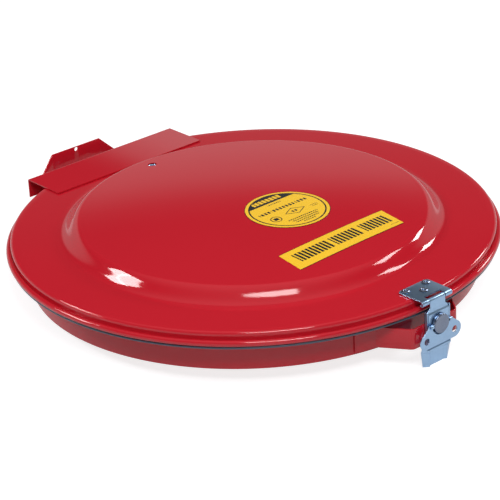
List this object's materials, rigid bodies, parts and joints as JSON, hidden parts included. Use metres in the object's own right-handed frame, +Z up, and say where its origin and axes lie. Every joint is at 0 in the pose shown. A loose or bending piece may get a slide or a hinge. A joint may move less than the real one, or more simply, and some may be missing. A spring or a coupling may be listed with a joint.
{
  "type": "hinged drum cover",
  "caption": "Domed steel safety cover that hinges on a split clamp ring round the rim of an open-head drum, drawn shut on its gasket by a rotary hook latch with a folding wing handle.",
  "frame": {"origin": "on the drum's axis, at the height where the gasket's underside meets the drum's rolled rim", "axes": "+Z up along the drum's axis, +Y towards the hinge, -Y towards the latch, +X to the right as seen from the latch side"},
  "size_m": [0.6628, 0.7472, 0.1156],
  "materials": {
    "red_enamel": "glossy red enamel on sheet steel",
    "zinc_plate": "bright zinc plate with a blue tint",
    "black_rubber": "smooth black rubber",
    "printed_film": "yellow film with plain black print"
  },
  "bodies": {
    "drum_ring": {"clamp_band": "red_enamel", "band_bolt": "zinc_plate", "band_nut": "zinc_plate", "hinge_lug_left": "red_enamel", "hinge_lug_right": "red_enamel", "rear_bracket": "red_enamel", "front_bracket": "red_enamel", "latch_base": "zinc_plate", "base_rivet_1": "zinc_plate", "base_rivet_2": "zinc_plate", "base_rivet_3": "zinc_plate", "base_rivet_4": "zinc_plate"},
    "cover": {"cover_lid": "red_enamel", "cover_gasket": "black_rubber", "vent_bushing": "zinc_plate", "decal_round": "printed_film", "decal_strip": "printed_film", "hinge_plate": "red_enamel", "hinge_clevis_left": "red_enamel", "hinge_clevis_right": "red_enamel", "hinge_pin_left": "zinc_plate", "hinge_pin_right": "zinc_plate", "latch_keeper": "zinc_plate", "keeper_bar": "zinc_plate", "keeper_rivet_1": "zinc_plate", "keeper_rivet_2": "zinc_plate", "keeper_rivet_3": "zinc_plate"},
    "spindle": {"latch_spindle": "zinc_plate", "wing_pin": "zinc_plate"},
    "link": {"latch_link": "zinc_plate"},
    "wing": {"latch_wing": "zinc_plate"}
  },
  "joints": [
    {"name": "cover_hinge", "type": "hinge", "parent": "drum_ring", "child": "cover", "pos_m": [0, 0.3292, 0.0113], "axis": [-1, 0, 0], "range_deg": [0, 90]},
    {"name": "spindle_turn", "type": "hinge", "parent": "drum_ring", "child": "spindle", "pos_m": [0, -0.33735, -0.0115], "axis": [0, -1, 0], "range_deg": [0, 180]},
    {"name": "link_lift", "type": "slide", "parent": "drum_ring", "child": "link", "axis": [0, 0, 1], "range_m": [0, 0.0064]},
    {"name": "wing_fold", "type": "hinge", "parent": "spindle", "child": "wing", "pos_m": [0, -0.34635, -0.0115], "axis": [-1, 0, 0], "range_deg": [0, 90]}
  ],
  "couplings": [
    {"joint": "link_lift", "follows": "spindle_turn", "m_per_rad": 0.0020372}
  ]
}
